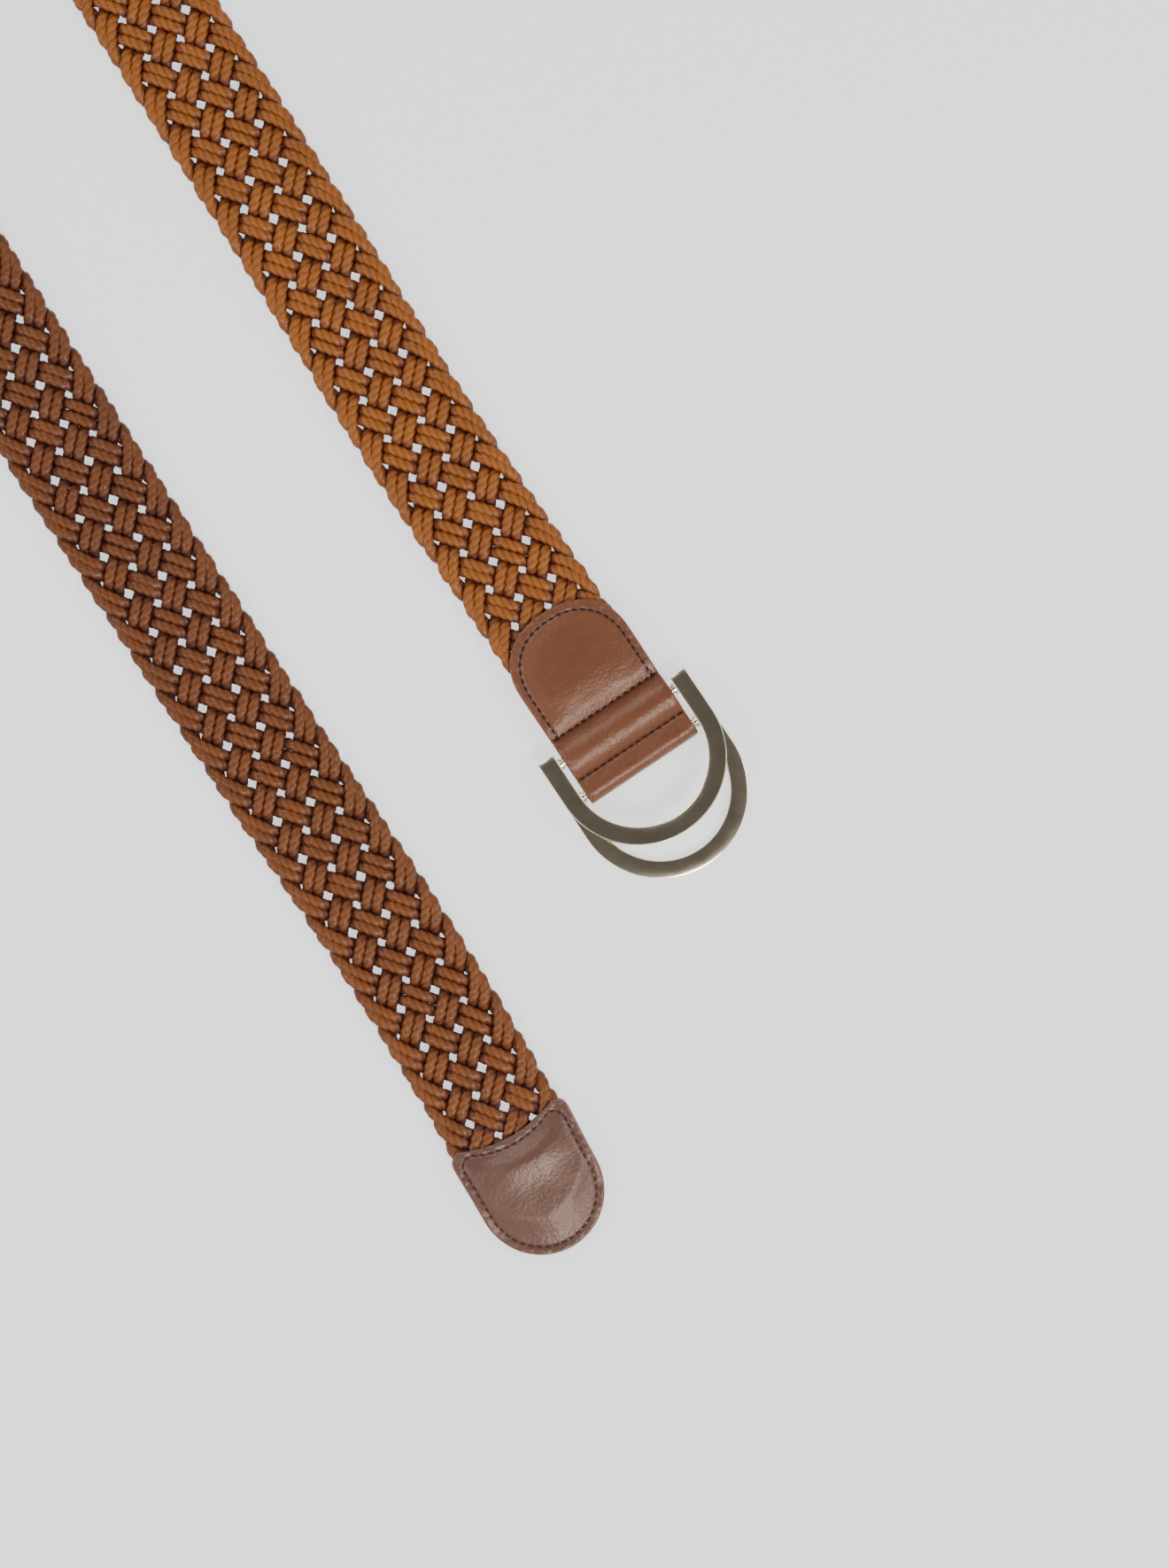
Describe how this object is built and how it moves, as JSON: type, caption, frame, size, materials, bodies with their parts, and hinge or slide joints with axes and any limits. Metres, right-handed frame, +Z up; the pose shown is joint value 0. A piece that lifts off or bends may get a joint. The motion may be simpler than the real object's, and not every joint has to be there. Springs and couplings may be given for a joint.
{
  "type": "braided belt",
  "caption": "Flat braided cord belt with a leather chape, a double D-ring buckle and a stitched leather tip, lying unbuckled in a long U.",
  "frame": {"origin": "centre of the belt's footprint, on the surface that it lies on", "axes": "+Y along the belt from its free ends to its standing loop, +X from the tip leg to the buckle leg, +Z up"},
  "size_m": [0.1336, 0.5766, 0.0352],
  "materials": {
    "cord": "waxed twisted cord, golden tan",
    "chape_leather": "smooth satin leather, reddish brown",
    "tip_leather": "smooth satin leather, mauve brown",
    "thread": "dark brown sewing thread",
    "binding_tape": "woven tape",
    "filler_board": "bonded leather board",
    "ring_metal": "satin dark olive brass with polished rims",
    "bar_metal": "turned, polished pale brass"
  },
  "bodies": {
    "loop_tip_side": {"strap_tip_bend": "cord", "strap_tip_twist": "cord"},
    "loop_buckle_side": {"strap_buckle_bend": "cord", "strap_buckle_twist": "cord"},
    "buckle_leg": {"strap_buckle_leg": "cord", "binding_buckle_end": "binding_tape", "chape_leather": "chape_leather", "patch_seam_front": "thread", "patch_seam_back": "thread", "bar_seam_front": "thread", "bar_seam_back": "thread", "fold_seam_front": "thread", "fold_seam_back": "thread"},
    "tip_leg": {"strap_tip_leg": "cord", "binding_tip_end": "binding_tape", "tip_leather_front": "tip_leather", "tip_leather_back": "tip_leather", "tip_filler": "filler_board", "tip_seam_front": "thread", "tip_seam_back": "thread"},
    "ring_front": {"ring_front_bow": "ring_metal", "ring_front_bar": "bar_metal"},
    "ring_back": {"ring_back_bow": "ring_metal", "ring_back_bar": "bar_metal"}
  },
  "joints": [
    {"name": "loop_open", "type": "hinge", "parent": "loop_tip_side", "child": "loop_buckle_side", "pos_m": [-0.00292, 0.286, 0.0175], "axis": [0, 0, 1], "range_deg": [-4, 40]},
    {"name": "buckle_leg_lift", "type": "hinge", "parent": "loop_buckle_side", "child": "buckle_leg", "pos_m": [0.03998, 0.092, 0.00235], "axis": [1, 0.005, 0], "range_deg": [-60, 0]},
    {"name": "tip_leg_lift", "type": "hinge", "parent": "loop_tip_side", "child": "tip_leg", "pos_m": [-0.0474, 0.05, 0.00235], "axis": [-1, 0.0035, 0], "range_deg": [0, 60]},
    {"name": "ring_front_swing", "type": "hinge", "parent": "buckle_leg", "child": "ring_front", "pos_m": [0.04141, -0.1706, 0.0063], "axis": [-0.9999, -0.0169, 0], "range_deg": [0, 155]},
    {"name": "ring_back_swing", "type": "hinge", "parent": "buckle_leg", "child": "ring_back", "pos_m": [0.0416, -0.1819, 0.0037], "axis": [-0.9999, -0.0169, 0], "range_deg": [-150, 0]}
  ]
}
